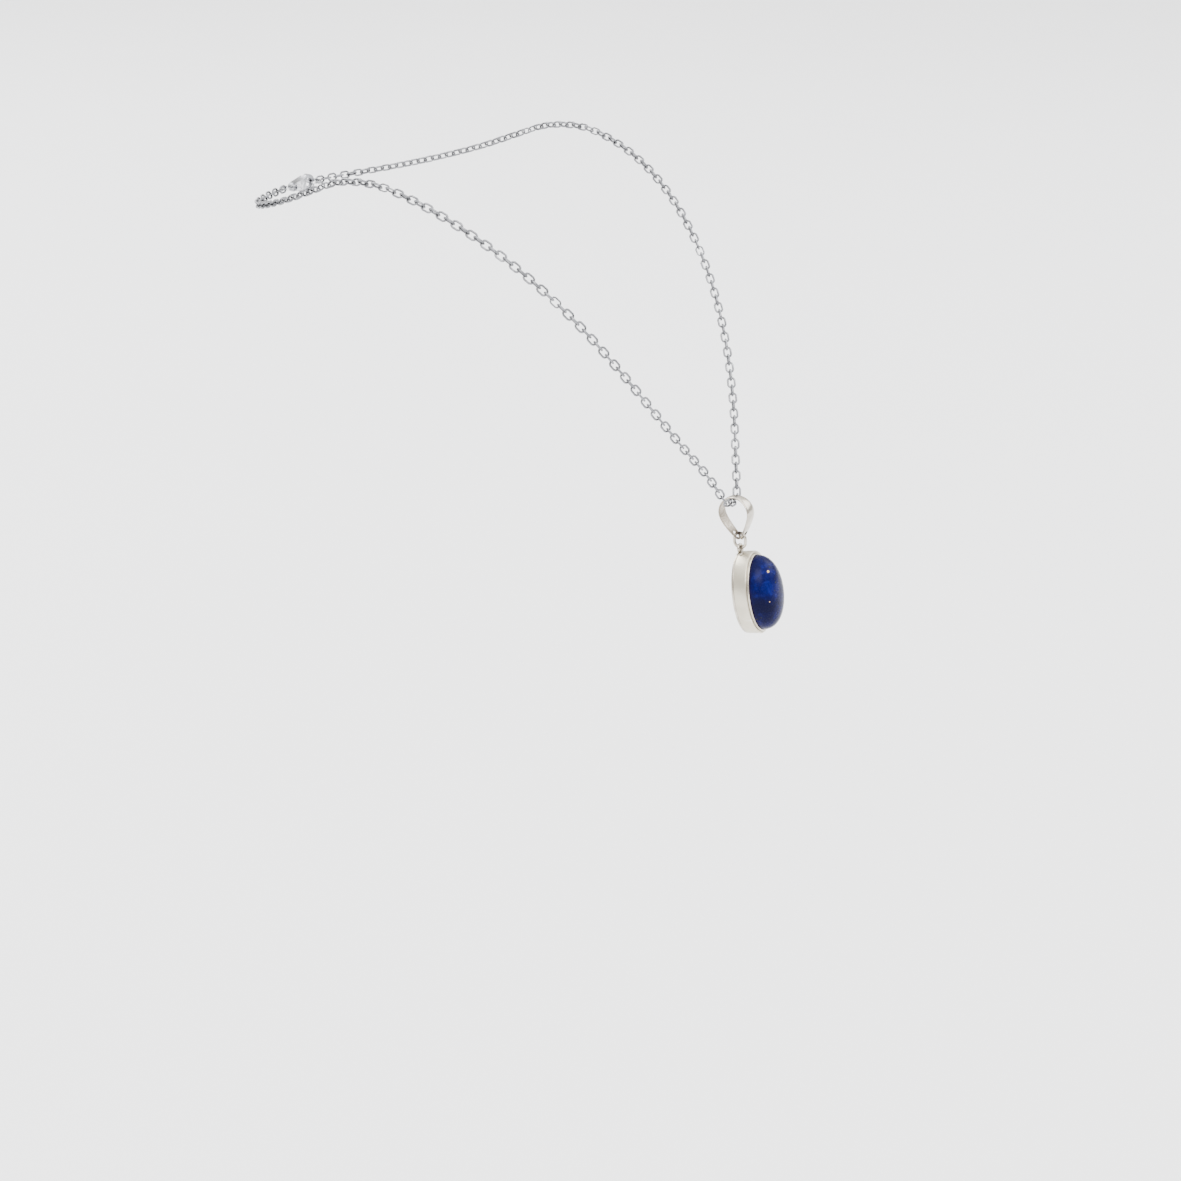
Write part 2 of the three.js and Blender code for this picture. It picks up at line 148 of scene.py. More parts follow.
def blotchGroup():
    # soft patches: noise squeezed between two levels
    group, into, out = newGroup(
        "softPatches",
        [
            ("Vector", "NodeSocketVector", None),
            ("Size", "NodeSocketFloat", 500.0),
            ("Low", "NodeSocketFloat", 0.35),
            ("High", "NodeSocketFloat", 0.65),
        ],
        [("Mask", "NodeSocketFloat")],
    )
    noise = addNode(group, "ShaderNodeTexNoise", inputs={"Detail": 4.0, "Roughness": 0.55, "Distortion": 0.3})
    level = addNode(group, "ShaderNodeMapRange", props={"interpolation_type": "SMOOTHSTEP"})
    group.links.new(into.outputs["Vector"], noise.inputs["Vector"])
    group.links.new(into.outputs["Size"], noise.inputs["Scale"])
    group.links.new(noise.outputs["Fac"], level.inputs["Value"])
    group.links.new(into.outputs["Low"], level.inputs["From Min"])
    group.links.new(into.outputs["High"], level.inputs["From Max"])
    group.links.new(level.outputs["Result"], out.inputs["Mask"])
    return group


def edgeGroup():
    # worn edges: pointiness above its flat value, broken up by a fine noise
    group, into, out = newGroup(
        "wornEdges",
        [
            ("Vector", "NodeSocketVector", None),
            ("Start", "NodeSocketFloat", 0.53),
            ("End", "NodeSocketFloat", 0.62),
        ],
        [("Mask", "NodeSocketFloat")],
    )
    shape = addNode(group, "ShaderNodeNewGeometry")
    level = addNode(group, "ShaderNodeMapRange")
    noise = addNode(group, "ShaderNodeTexNoise", inputs={"Scale": 2600.0, "Detail": 3.0})
    broken = addNode(group, "ShaderNodeMapRange", inputs={"From Min": 0.3, "From Max": 0.6, "To Min": 0.25})
    both = addNode(group, "ShaderNodeMath", props={"operation": "MULTIPLY"})
    group.links.new(shape.outputs["Pointiness"], level.inputs["Value"])
    group.links.new(into.outputs["Start"], level.inputs["From Min"])
    group.links.new(into.outputs["End"], level.inputs["From Max"])
    group.links.new(into.outputs["Vector"], noise.inputs["Vector"])
    group.links.new(noise.outputs["Fac"], broken.inputs["Value"])
    group.links.new(level.outputs["Result"], both.inputs[0])
    group.links.new(broken.outputs["Result"], both.inputs[1])
    group.links.new(both.outputs[0], out.inputs["Mask"])
    return group


def dentGroup():
    # the slight waviness of metal worked by hand, as a height
    group, into, out = newGroup(
        "handWaviness",
        [("Vector", "NodeSocketVector", None), ("Size", "NodeSocketFloat", 260.0)],
        [("Height", "NodeSocketFloat")],
    )
    noise = addNode(group, "ShaderNodeTexNoise", inputs={"Detail": 1.0, "Roughness": 0.4})
    group.links.new(into.outputs["Vector"], noise.inputs["Vector"])
    group.links.new(into.outputs["Size"], noise.inputs["Scale"])
    group.links.new(noise.outputs["Fac"], out.inputs["Height"])
    return group


hairScratches, softPatches, wornEdges, handWaviness = (
    scratchGroup(), blotchGroup(), edgeGroup(), dentGroup()
)


def startMaterial(name):
    material = bpy.data.materials.new(name)
    material.use_nodes = True
    tree = material.node_tree
    shader = next(n for n in tree.nodes if n.type == "BSDF_PRINCIPLED")
    return material, tree, shader


def placeGroup(tree, group, vector, **values):
    node = tree.nodes.new("ShaderNodeGroup")
    node.node_tree = group
    tree.links.new(vector, node.inputs["Vector"])
    for key, value in values.items():
        node.inputs[key].default_value = value
    return node


def mixColour(tree, mask, first, second):
    # first where the mask is 0, second where it is 1; each is a colour or an output
    node = addNode(tree, "ShaderNodeMix", props={"data_type": "RGBA"})
    tree.links.new(mask, node.inputs["Factor"])
    for socket, value in ((node.inputs[6], first), (node.inputs[7], second)):
        if isinstance(value, bpy.types.NodeSocket):
            tree.links.new(value, socket)
        else:
            socket.default_value = (*value, 1)
    return node.outputs[2]


def addMasks(tree, parts):
    # the sum of amount x mask
    total = None
    for mask, amount in parts:
        step = addNode(
            tree, "ShaderNodeMath", props={"operation": "MULTIPLY_ADD"}, inputs={1: amount, 2: 0.0},
        )
        tree.links.new(mask, step.inputs[0])
        if total is not None:
            tree.links.new(total, step.inputs[2])
        total = step.outputs[0]
    return total


# each look's deep colour is near-black painted shade, mixed in where a piece's shade attribute is high
metalLooks = {
    "chainSteel": {
        "bright": (0.27, 0.275, 0.29), "dull": (0.13, 0.13, 0.14),
        "edge": (0.8, 0.81, 0.83), "deep": (0.008, 0.007, 0.009),
        "edgeStart": 0.72, "edgeEnd": 0.9, "rough": 0.1, "patchRough": 0.12, "scratchRough": 0.16,
        "patchSize": 900.0, "scratchWidth": 0.02, "waviness": 0.012, "grain": 0.003,
    },
    "warmSilver": {
        "bright": (0.55, 0.51, 0.44), "dull": (0.3, 0.26, 0.21),
        "edge": (0.95, 0.92, 0.86), "deep": (0.015, 0.008, 0.006),
        "edgeStart": 0.66, "edgeEnd": 0.85, "rough": 0.12, "patchRough": 0.1, "scratchRough": 0.18,
        "patchSize": 420.0, "scratchWidth": 0.016, "waviness": 0.05, "grain": 0.002,
    },
    "wallSilver": {
        "bright": (0.58, 0.54, 0.44), "dull": (0.47, 0.43, 0.34),
        "edge": (0.9, 0.88, 0.84), "deep": (0.05, 0.03, 0.03),
        "edgeStart": 0.54, "edgeEnd": 0.64, "rough": 0.3, "patchRough": 0.08, "scratchRough": 0.12,
        "patchSize": 300.0, "scratchWidth": 0.012, "waviness": 0.03, "grain": 0.002,
    },
    "claspSteel": {
        "bright": (0.32, 0.325, 0.34), "dull": (0.18, 0.18, 0.19),
        "edge": (0.8, 0.8, 0.82), "deep": (0.012, 0.012, 0.012),
        "edgeStart": 0.6, "edgeEnd": 0.75, "rough": 0.18, "patchRough": 0.12, "scratchRough": 0.2,
        "patchSize": 600.0, "scratchWidth": 0.024, "waviness": 0.02, "grain": 0.003,
    },
}

metalFinish = {
    "grainSize": 9000.0, "dullShare": 0.45, "scratchDepth": -0.0012, "shadeRough": 0.25,
    "pits": {"Size": 2600.0, "Low": 0.4, "High": 0.6}, "mattShare": 0.45, "mattRough": 0.16,
    "pitRough": 0.12, "pitDepth": 0.03, "bump": {"Strength": 0.6, "Distance": 0.001},
}


def metalMaterial(name, look, shadeAttribute=None, mattAttribute=None):
    # shadeAttribute paints shade into the colour where it is 1, mixing it towards the look's deep colour;
    # mattAttribute makes it rough and pitted
    material, tree, shader = startMaterial(name)
    link = tree.links.new
    where = addNode(tree, "ShaderNodeTexCoord").outputs["Object"]
    patches = placeGroup(tree, softPatches, where, Size=look["patchSize"]).outputs["Mask"]
    scratches = placeGroup(tree, hairScratches, where, Width=look["scratchWidth"]).outputs["Mask"]
    edges = placeGroup(tree, wornEdges, where, Start=look["edgeStart"], End=look["edgeEnd"]).outputs["Mask"]
    waves = placeGroup(tree, handWaviness, where).outputs["Height"]
    grain = addNode(tree, "ShaderNodeTexNoise", inputs={"Scale": metalFinish["grainSize"], "Detail": 3.0})
    link(where, grain.inputs["Vector"])
    dullParts = addMasks(tree, [(patches, metalFinish["dullShare"])])
    softer = mixColour(tree, dullParts, look["bright"], look["dull"])
    colour = mixColour(tree, edges, softer, look["edge"])
    roughParts = [(patches, look["patchRough"]), (scratches, look["scratchRough"])]
    heightParts = [
        (waves, look["waviness"]),
        (scratches, metalFinish["scratchDepth"]),
        (grain.outputs["Fac"], look["grain"]),
    ]
    if shadeAttribute:
        shade = addNode(tree, "ShaderNodeAttribute", props={"attribute_name": shadeAttribute})
        colour = mixColour(tree, shade.outputs["Fac"], colour, look["deep"])
        roughParts.append((shade.outputs["Fac"], metalFinish["shadeRough"]))
    if mattAttribute:
        matt = addNode(tree, "ShaderNodeAttribute", props={"attribute_name": mattAttribute})
        pits = placeGroup(tree, softPatches, where, **metalFinish["pits"]).outputs["Mask"]
        pitted = addNode(tree, "ShaderNodeMath", props={"operation": "MULTIPLY"})
        link(matt.outputs["Fac"], pitted.inputs[0])
        link(pits, pitted.inputs[1])
        greyParts = addMasks(tree, [(matt.outputs["Fac"], metalFinish["mattShare"])])
        greyed = mixColour(tree, greyParts, colour, look["dull"])
        colour = mixColour(tree, pitted.outputs[0], greyed, look["dull"])
        roughParts += [
            (matt.outputs["Fac"], metalFinish["mattRough"]),
            (pitted.outputs[0], metalFinish["pitRough"]),
        ]
        heightParts.append((pitted.outputs[0], metalFinish["pitDepth"]))
    link(colour, shader.inputs["Base Color"])
    shader.inputs["Metallic"].default_value = 1.0
    rough = addMasks(tree, roughParts)
    final = addNode(
        tree, "ShaderNodeMath", props={"operation": "ADD", "use_clamp": True}, inputs={1: look["rough"]},
    )
    link(rough, final.inputs[0])
    link(final.outputs[0], shader.inputs["Roughness"])
    bump = addNode(tree, "ShaderNodeBump", inputs=metalFinish["bump"])
    link(addMasks(tree, heightParts), bump.inputs["Height"])
    link(bump.outputs["Normal"], shader.inputs["Normal"])
    return material


chainSteel = metalMaterial("chainSteel", metalLooks["chainSteel"], shadeAttribute="paintedShadeAndTone")
warmSilver = metalMaterial("warmSilver", metalLooks["warmSilver"], shadeAttribute="paintedShadeAndTone")
wallSilver = metalMaterial("wallSilver", metalLooks["wallSilver"], shadeAttribute="paintedShadeAndTone")
bailSilver = metalMaterial(
    "bailSilver", metalLooks["warmSilver"], shadeAttribute="paintedShadeAndTone", mattAttribute="inside",
)
claspSteel = metalMaterial("claspSteel", metalLooks["claspSteel"])
print("metals mixed")

# ---- shapes shared by the pieces ----


def gridFaces(rows, columns, wrapRows=False, wrapColumns=False):
    # one quad for each step (i, j) of a grid, with the last row or column joined to the first
    i, j = np.meshgrid(
        np.arange(rows if wrapRows else rows - 1),
        np.arange(columns if wrapColumns else columns - 1),
        indexing="ij",
    )
    ni, nj = (i + 1) % rows, (j + 1) % columns
    quads = np.stack([i * columns + j, i * columns + nj, ni * columns + nj, ni * columns + j], axis=-1)
    return quads.reshape(-1, 4)


def makePiece(name, points, faces, material, attributes=None, sharp=None):
    # points in mm; doubles merged, faces turned outwards, shaded smooth up to the sharp angle
    mesh = bpy.data.meshes.new(name)
    mesh.from_pydata((np.asarray(points) * mm).tolist(), [], faces.tolist())
    for label, values in (attributes or {}).items():
        layer = mesh.attributes.new(label, "FLOAT", "POINT")
        layer.data.foreach_set("value", np.asarray(values, np.float32).ravel())
    work = bmesh.new()
    work.from_mesh(mesh)
    bmesh.ops.remove_doubles(work, verts=work.verts, dist=2e-7)
    bmesh.ops.recalc_face_normals(work, faces=work.faces)
    work.to_mesh(mesh)
    work.free()
    mesh.polygons.foreach_set("use_smooth", np.ones(len(mesh.polygons), bool))
    if sharp:
        mesh.set_sharp_from_angle(angle=math.radians(sharp))
    mesh.materials.append(material)
    made = bpy.data.objects.new(name, mesh)
    bpy.context.scene.collection.objects.link(made)
    return made


def fitPiece(piece, slot, *nodes):
    # rides on the body of the nodes that it stands for
    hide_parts(*nodes)
    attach(piece, bodyOfNode[nodes[0]])


def smoothLine(points, perSpan, closed):
    # centripetal spline: on each span C(t) = c0 + c1 t + c2 t^2 + c3 t^3, where the tangents
    # weigh the neighbouring steps by the square roots of their lengths
    p = np.asarray(points, float)
    if closed:
        p0, p1, p2, p3 = np.roll(p, 1, 0), p, np.roll(p, -1, 0), np.roll(p, -2, 0)
    else:
        p = np.vstack([2 * p[0] - p[1], p, 2 * p[-1] - p[-2]])
        p0, p1, p2, p3 = p[:-3], p[1:-2], p[2:-1], p[3:]
    d0, d1, d2 = (
        np.sqrt(np.linalg.norm(b - a, axis=1, keepdims=True)) for a, b in ((p0, p1), (p1, p2), (p2, p3))
    )
    t1 = ((p1 - p0) / d0 - (p2 - p0) / (d0 + d1) + (p2 - p1) / d1) * d1
    t2 = ((p2 - p1) / d1 - (p3 - p1) / (d1 + d2) + (p3 - p2) / d2) * d1
    t = np.linspace(0, 1, perSpan, endpoint=False)[None, :, None]
    c0, c1 = p1[:, None], t1[:, None]
    c2 = (-3 * p1 + 3 * p2 - 2 * t1 - t2)[:, None]
    c3 = (2 * p1 - 2 * p2 + t1 + t2)[:, None]
    line = (c0 + c1 * t + c2 * t**2 + c3 * t**3).reshape(-1, 3)
    return line if closed else np.vstack([line, p2[-1]])


def unit(vectors):
    return vectors / np.linalg.norm(vectors, axis=-1, keepdims=True)


def wire(line, radius, sides, reference, closed, capSteps=0):
    # circle of the radius carried along the line: P + r (cos b S + sin b N), where
    # S = T x reference and N = S x T; open ends are rounded off by caps of shrinking circles
    line = np.asarray(line, float)
    radii = np.full(len(line), float(radius))
    if closed:
        tangent = unit(np.roll(line, -1, 0) - np.roll(line, 1, 0))
    else:
        tangent = unit(np.gradient(line, axis=0))
        turn = np.linspace(0, math.pi / 2, capSteps + 1)[1:]
        ahead, shrunk = radius * np.sin(turn), radius * np.cos(turn)
        start = line[0] - tangent[0] * ahead[::-1, None]
        end = line[-1] + tangent[-1] * ahead[:, None]
        line = np.vstack([start, line, end])
        radii = np.concatenate([shrunk[::-1], radii, shrunk])
        first, last = np.repeat(tangent[:1], capSteps, 0), np.repeat(tangent[-1:], capSteps, 0)
        tangent = np.vstack([first, tangent, last])
    side = unit(np.cross(tangent, reference))
    normal = np.cross(side, tangent)
    b = np.linspace(0, 2 * math.pi, sides, endpoint=False)
    ring = np.cos(b)[None, :, None] * side[:, None] + np.sin(b)[None, :, None] * normal[:, None]
    points = line[:, None] + radii[:, None, None] * ring
    return points.reshape(-1, 3), gridFaces(len(line), sides, wrapRows=closed, wrapColumns=True)


def ovalLine(endRadius, spread, steps):
    # (R cos a + spread sign(cos a), R sin a): a circle whose two ends are drawn apart
    a = (np.arange(steps) + 0.5) * 2 * math.pi / steps
    x = endRadius * np.cos(a) + spread * np.sign(np.cos(a))
    return np.stack([x, endRadius * np.sin(a), np.zeros(steps)], axis=1)


# ---- chain ----
chain = {
    "linkWidth": 2.4, "linkWire": 0.55, "slack": 0.11, "linksPerSide": 100, "claspHalfSpan": 6.83,
    "roll": 45.0, "endTwist": 45.0, "endTwistLinks": 8, "wireSides": 6, "ringSteps": 12,
    "wobble": 3.0, "seed": 11, "hingeLinks": (34, 35, 58, 59, 68, 69), "hingePlay": 0.06,
    "endShade": (0.30, 0.60), "sideShade": 0.35, "skinShade": 0.45, "toneShade": 0.3,
}

# The centre line from the bail up the wearer's right side and round to the nape, in metres.
chainRoute = [
    (0, -0.1438, -0.06105), (-0.0015, -0.1438, -0.06105), (-0.0029, -0.1435, -0.06035),
    (-0.0046, -0.1423, -0.0573), (-0.0076, -0.1400, -0.0520), (-0.0141, -0.1352, -0.0424),
    (-0.0200, -0.1299, -0.0325), (-0.0253, -0.1240, -0.0228), (-0.0301, -0.1171, -0.0133),
    (-0.0346, -0.1090, -0.0045), (-0.0387, -0.0997, 0.0034), (-0.0422, -0.0891, 0.0100),
    (-0.0444, -0.0776, 0.0149), (-0.0453, -0.0653, 0.0176), (-0.0449, -0.0537, 0.0166),
    (-0.0441, -0.0438, 0.0129), (-0.0422, -0.0330, 0.0085), (-0.0380, -0.0225, 0.0049),
    (-0.0310, -0.0130, 0.0022), (-0.0220, -0.0059, 0.0007), (-0.0110, -0.0014, 0.0001),
    (0, 0, 0),
]

# first link, last link, and the CAD nodes they stand for after the side's word
chainParts = [(k, k, [f"bail_link_{k}"]) for k in range(1, 9)] + [
    (9, 33, ["lower_chain"]), (34, 34, ["bend_link_lower"]), (35, 35, ["bend_link_upper"]),
    (36, 57, ["upper_chain"]), (58, 58, ["shoulder_link_front"]), (59, 59, ["shoulder_link_back"]),
    (60, 67, ["shoulder_chain"]), (68, 68, ["nape_link_front"]), (69, 69, ["nape_link_back"]),
    (70, 97, ["nape_chain"]), (98, 98, ["clasp_link_3"]), (99, 99, ["clasp_link_2"]),
    (100, 100, ["clasp_link_1"]),
]

routeHalf = np.array(chainRoute) / mm
routeBack = routeHalf[-2:0:-1] * (-1, 1, 1)
routeLine = smoothLine(np.vstack([routeHalf, routeBack]), 200, closed=True)
routeLoop = np.vstack([routeLine, routeLine[:1]])
routeSteps = np.concatenate([[0], np.cumsum(np.linalg.norm(np.diff(routeLoop, axis=0), axis=1))])
routeLength = routeSteps[-1]
pitch = (routeLength / 2 - chain["claspHalfSpan"]) / (chain["linksPerSide"] + 0.5)
linkSpread = (pitch + 2 * chain["linkWire"] + chain["slack"] - chain["linkWidth"]) / 2


def routeAt(distance):
    # point at a distance along the centre line from the bail, up the wearer's right side
    at = distance % routeLength
    return np.stack([np.interp(at, routeSteps, routeLoop[:, i]) for i in range(3)], axis=-1)


def linkShape():
    # a wire ring, the way each point faces, and its painted shade: (-cos b) inside the ring,
    # most of all near the link's ends, where the next link hooks through
    steps, sides = chain["ringSteps"], chain["wireSides"]
    centre = ovalLine((chain["linkWidth"] - chain["linkWire"]) / 2, linkSpread, steps)
    a = (np.arange(steps) + 0.5) * 2 * math.pi / steps
    b = np.arange(sides) * 2 * math.pi / sides
    out = np.stack([np.cos(a), np.sin(a), np.zeros(steps)], axis=1)
    ring = np.cos(b)[None, :, None] * out[:, None] + np.sin(b)[None, :, None] * np.array([0, 0, 1.0])
    points = centre[:, None] + chain["linkWire"] / 2 * ring
    ends, inside = np.abs(np.cos(a))[:, None] ** 2, np.clip(-np.cos(b), 0, 1)[None, :]
    endBase, endMore = chain["endShade"]
    inner = ends * (endBase + endMore * inside) + chain["sideShade"] * inside * (1 - ends)
    return points.reshape(-1, 3), gridFaces(steps, sides, True, True), inner.ravel(), ring.reshape(-1, 3)


linkPoints, linkFaces, paintedLinkShade, linkNormals = linkShape()
linkTones = np.random.default_rng(chain["seed"]).random((2, chain["linksPerSide"] + 1, 2))


def linkSet(first, last, side):
    # every link k lies between the route points at (k - 1/2) and (k + 1/2) pitches; its width
    # is across cos(roll) + outward sin(roll), with the roll's sign changing from link to link;
    # the hinge links' wire is thinner by hingePlay, so that they turn freely on their neighbours
    k = np.arange(first, last + 1)
    start, end = routeAt((k - 0.5) * pitch), routeAt((k + 0.5) * pitch)
    along = unit(end - start)
    outward = unit(np.cross(np.array([1.0, 0, 0]), along))
    if first == 0:
        along, outward = np.array([[-1.0, 0, 0]]), np.array([[0, -1.0, 0]])
    across = np.cross(outward, along)
    tone = linkTones[0 if side < 0 else 1, k]
    twist = np.clip((k - chain["linksPerSide"] + chain["endTwistLinks"]) / chain["endTwistLinks"], 0, 1)
    roll = np.where(k % 2 == 0, 1, -1) * chain["roll"] + twist * chain["endTwist"]
    roll = np.radians(roll + (tone[:, 0] - 0.5) * 2 * chain["wobble"])[:, None]
    width = across * np.cos(roll) + outward * np.sin(roll)
    face = np.cross(along, width)
    axes = np.stack([along, width, face], axis=1)
    play = np.where(np.isin(k, chain["hingeLinks"]), chain["hingePlay"], 0.0)
    shape = linkPoints[None] - play[:, None, None] * linkNormals[None]
    points = np.einsum("kvi,kij->kvj", shape, axes) + ((start + end) / 2)[:, None]
    if side > 0:
        points = points * (-1, 1, 1)
    faces = (linkFaces[None] + (np.arange(len(k)) * len(linkPoints))[:, None, None]).reshape(-1, 4)
    # painted shade: each link's inside and ends, and the side that faces the neck, darkened towards the deep
    # colour; a random tone per link is added on top
    facing = np.einsum("vi,kij,kj->kv", linkNormals, axes, outward)
    skinSide = np.clip(-facing, 0, 1) * chain["skinShade"]
    paintedShadeAndTone = np.clip(paintedLinkShade[None, :] + skinSide + (tone[:, 1:] - 0.5) * chain["toneShade"], 0, 1)
    return points.reshape(-1, 3), faces, paintedShadeAndTone.ravel()


def makeLinks(name, first, last, side, nodes):
    points, faces, paintedShadeAndTone = linkSet(first, last, side)
    piece = makePiece(name, points, faces, chainSteel, {"paintedShadeAndTone": paintedShadeAndTone})
    fitPiece(piece, "chain_metal", *nodes)


makeLinks("link_000_centre", 0, 0, -1, ["centre_link"])
for word, side in (("right", -1), ("left", 1)):
    for first, last, nodes in chainParts:
        label = f"{word}_link_{first:03d}" if first == last else f"{word}_links_{first:03d}_to_{last:03d}"
        makeLinks(label, first, last, side, [f"{word}_{node}" for node in nodes])
print(f"chain made: {routeLength:.1f} mm round, pitch {pitch:.3f} mm")

# ---- bail ----
bail = {
    "tilt": 14.9, "forward": 0.69, "strip": 0.61, "widest": 2.56, "halfDepth": 4.28, "crown": 4.04,
    "legBelly": 2.55, "legFlare": 0.7, "legRise": 1.19, "endDrop": 8.68, "endRadius": 1.42,
    "eyeDrop": 8.76, "eyeRadius": 0.95, "crownHalf": 0.95, "crownTop": 2.6,
    "shoulderPull": (1.7, 0.5), "flankPull": (2.1, -4.0),
    "dome": 2.6, "innerRound": 7.0, "halfColumns": 10, "shadeTop": -6.6, "shadeFall": 1.6,
    "curveSteps": 120, "tipRows": 7, "eyeRows": 19, "legRows": 22, "crownRows": 33,
}


def downTilted(angle):
    # straight down, turned forwards by the angle
    return np.array([0, -math.sin(math.radians(angle)), -math.cos(math.radians(angle))])


def bezier(points, steps):
    # (1-t)^3 a + 3 (1-t)^2 t b + 3 (1-t) t^2 c + t^3 d
    t = np.linspace(0, 1, steps)[:, None]
    a, b, c, d = (np.array(p, float) for p in points)
    return (1 - t) ** 3 * a + 3 * (1 - t) ** 2 * t * b + 3 * (1 - t) * t**2 * c + t**3 * d


bailTurn = np.array(Matrix.Rotation(math.radians(-bail["tilt"]), 3, "X"))
bailPlace = jointPlace["bail_swing"] - bail["forward"] * bailTurn[:, 1]


def bailMiddle():
    # the strip's middle line as (y, z): a leg up from the closed tip, an oval crown
    # (halfDepth cos a, crown sin a - widest), and the other leg down again
    lowest = -bail["endDrop"] - bail["endRadius"]
    tip, widest = bail["strip"] / 2, -bail["widest"]
    leg = bezier(
        [(tip, lowest), (tip + bail["legFlare"], lowest + bail["legRise"]),
         (bail["halfDepth"], widest - bail["legBelly"]), (bail["halfDepth"], widest)],
        bail["curveSteps"],
    )
    eyeLow, eyeHigh = -bail["eyeDrop"] - bail["eyeRadius"], -bail["eyeDrop"] + bail["eyeRadius"]
    below = lowest + (eyeLow - lowest) * (1 - np.cos(np.linspace(0, math.pi / 2, bail["tipRows"])))
    eye = -bail["eyeDrop"] - bail["eyeRadius"] * np.cos(np.linspace(0, math.pi, bail["eyeRows"]))
    above = np.linspace(eyeHigh, widest, bail["legRows"])
    z = np.concatenate([below[:-1], eye[:-1], above])
    y = np.interp(z, leg[:, 1], leg[:, 0])
    turn = np.linspace(0, math.pi, bail["crownRows"])[1:-1]
    over = np.stack([bail["halfDepth"] * np.cos(turn), widest + bail["crown"] * np.sin(turn)], axis=1)
    side = np.stack([y, z], axis=1)
    return np.vstack([side, over, (side * (-1, 1))[::-1]])


def makeBail():
    # rows run from one pierced end over the crown to the other. Across a row the surface is
    # middle + (strip / 2) f normal, with f = sqrt(1 - |t|^dome) on the outside and
    # f = -sqrt(1 - |t|^innerRound) on the inside, t = x / half width; round the eye the rows
    # part by sqrt(eyeRadius^2 - (z + eyeDrop)^2)
    middle = bailMiddle()
    z = middle[:, 1]
    tangent = unit(np.gradient(middle, axis=0))
    normal = np.stack([tangent[:, 1], -tangent[:, 0]], axis=1)
    outline = bezier(
        [(bail["crownHalf"], bail["crownTop"]), bail["shoulderPull"], bail["flankPull"],
         (bail["endRadius"], -bail["endDrop"])],
        bail["curveSteps"],
    )[::-1]
    half = np.interp(z, outline[:, 1], outline[:, 0])
    rounded = np.sqrt(np.clip(bail["endRadius"] ** 2 - (z + bail["endDrop"]) ** 2, 0, None))
    half = np.where(z < -bail["endDrop"], rounded, half)
    fromEye = np.abs(z + bail["eyeDrop"])
    gap = np.sqrt(np.clip(bail["eyeRadius"] ** 2 - fromEye**2, 0, None))
    gap = np.where(fromEye < bail["eyeRadius"] - 1e-6, gap, 0)
    columns = bail["halfColumns"]
    s = np.cos(np.linspace(0, math.pi / 2, columns))
    x = gap[:, None] + (half - gap)[:, None] * s[None, :]
    t = np.clip(x / np.maximum(half, 1e-6)[:, None], 0, 1)
    t = np.where(half[:, None] < 1e-6, 1.0, t)
    rise = bail["strip"] / 2 * np.sqrt(np.clip(1 - t ** bail["dome"], 0, 1))
    fall = -bail["strip"] / 2 * np.sqrt(np.clip(1 - t ** bail["innerRound"], 0, 1))
    outSheet = middle[:, None, :] + rise[..., None] * normal[:, None, :]
    inSheet = middle[:, None, :] + fall[..., None] * normal[:, None, :]
    section = np.concatenate([outSheet, inSheet[:, ::-1]], axis=1)
    across = np.concatenate([x, x[:, ::-1]], axis=1)
    inside = np.concatenate([np.zeros_like(x), np.ones_like(x)], axis=1)
    rows, ring = across.shape
    faces = gridFaces(rows, ring, wrapColumns=True).reshape(rows - 1, ring, 4)
    seam = np.zeros((rows - 1, ring), bool)
    seam[:, columns - 1] = (gap[:-1] < 1e-9) & (gap[1:] < 1e-9)
    keep = faces[~seam]
    oneSide = np.stack([across, section[..., 0], section[..., 1]], axis=-1).reshape(-1, 3)
    points = np.vstack([oneSide, oneSide * (-1, 1, 1)])
    allFaces = np.vstack([keep, (keep + len(oneSide))[:, ::-1]])
    # painted shade on the inside of the strip, low down near the tip and the eye
    low = np.clip((bail["shadeTop"] - z[:, None]) / bail["shadeFall"], 0, 1)
    masks = {"inside": np.tile(inside.ravel(), 2), "paintedShadeAndTone": np.tile((inside * low).ravel(), 2)}
    placed = points @ bailTurn.T + bailPlace
    piece = makePiece("bail_strip", placed, allFaces, bailSilver, masks, sharp=50)
    fitPiece(piece, "silver", "bail")


makeBail()
print("bail folded")

# ---- drop ring ----
dropRing = {
    "halfWidth": 1.625, "wireRadius": 0.4, "height": 4.02, "rise": 0.35, "tilt": 5.0,
    "steps": 64, "sides": 16, "endShade": 0.45, "topShade": 0.95, "innerShade": 0.5,
    "footFocus": 6, "topFocus": 4,
}


ringTop = bailPlace + downTilted(bail["tilt"]) * (bail["eyeDrop"] - dropRing["rise"])
ringEnd = ringTop + downTilted(dropRing["tilt"]) * dropRing["height"]


def makeDropRing():
    # the oval wire ring, its long axis down the tilt and its short axis across it
    line = ovalLine(dropRing["halfWidth"], dropRing["height"] / 2 - dropRing["halfWidth"], dropRing["steps"])
    down = downTilted(dropRing["tilt"])
    front = np.cross(np.array([1.0, 0, 0]), down)
    centred = line[:, :1] * down + line[:, 1:2] * front + (ringTop + ringEnd) / 2
    points, faces = wire(centred, dropRing["wireRadius"], dropRing["sides"], np.array([1.0, 0, 0]), True)
    a = (np.arange(dropRing["steps"]) + 0.5) * 2 * math.pi / dropRing["steps"]
    b = np.arange(dropRing["sides"]) * 2 * math.pi / dropRing["sides"]
    # painted shade where the ring hangs in the bezel loop (foot), where it sits in the bail's eye (top), and on
    # its inner side
    foot = np.clip(np.cos(a), 0, 1)[:, None] ** dropRing["footFocus"]
    top = np.clip(-np.cos(a), 0, 1)[:, None] ** dropRing["topFocus"]
    inner = np.clip(-np.cos(b), 0, 1)[None, :]
    paintedRingShade = dropRing["endShade"] * foot + dropRing["topShade"] * top + dropRing["innerShade"] * inner
    paintedRingShade = np.clip(paintedRingShade, 0, 1)
    piece = makePiece("drop_ring_wire", points, faces, warmSilver, {"paintedShadeAndTone": paintedRingShade})
    fitPiece(piece, "silver", "drop_ring")


makeDropRing()
print("drop ring closed")

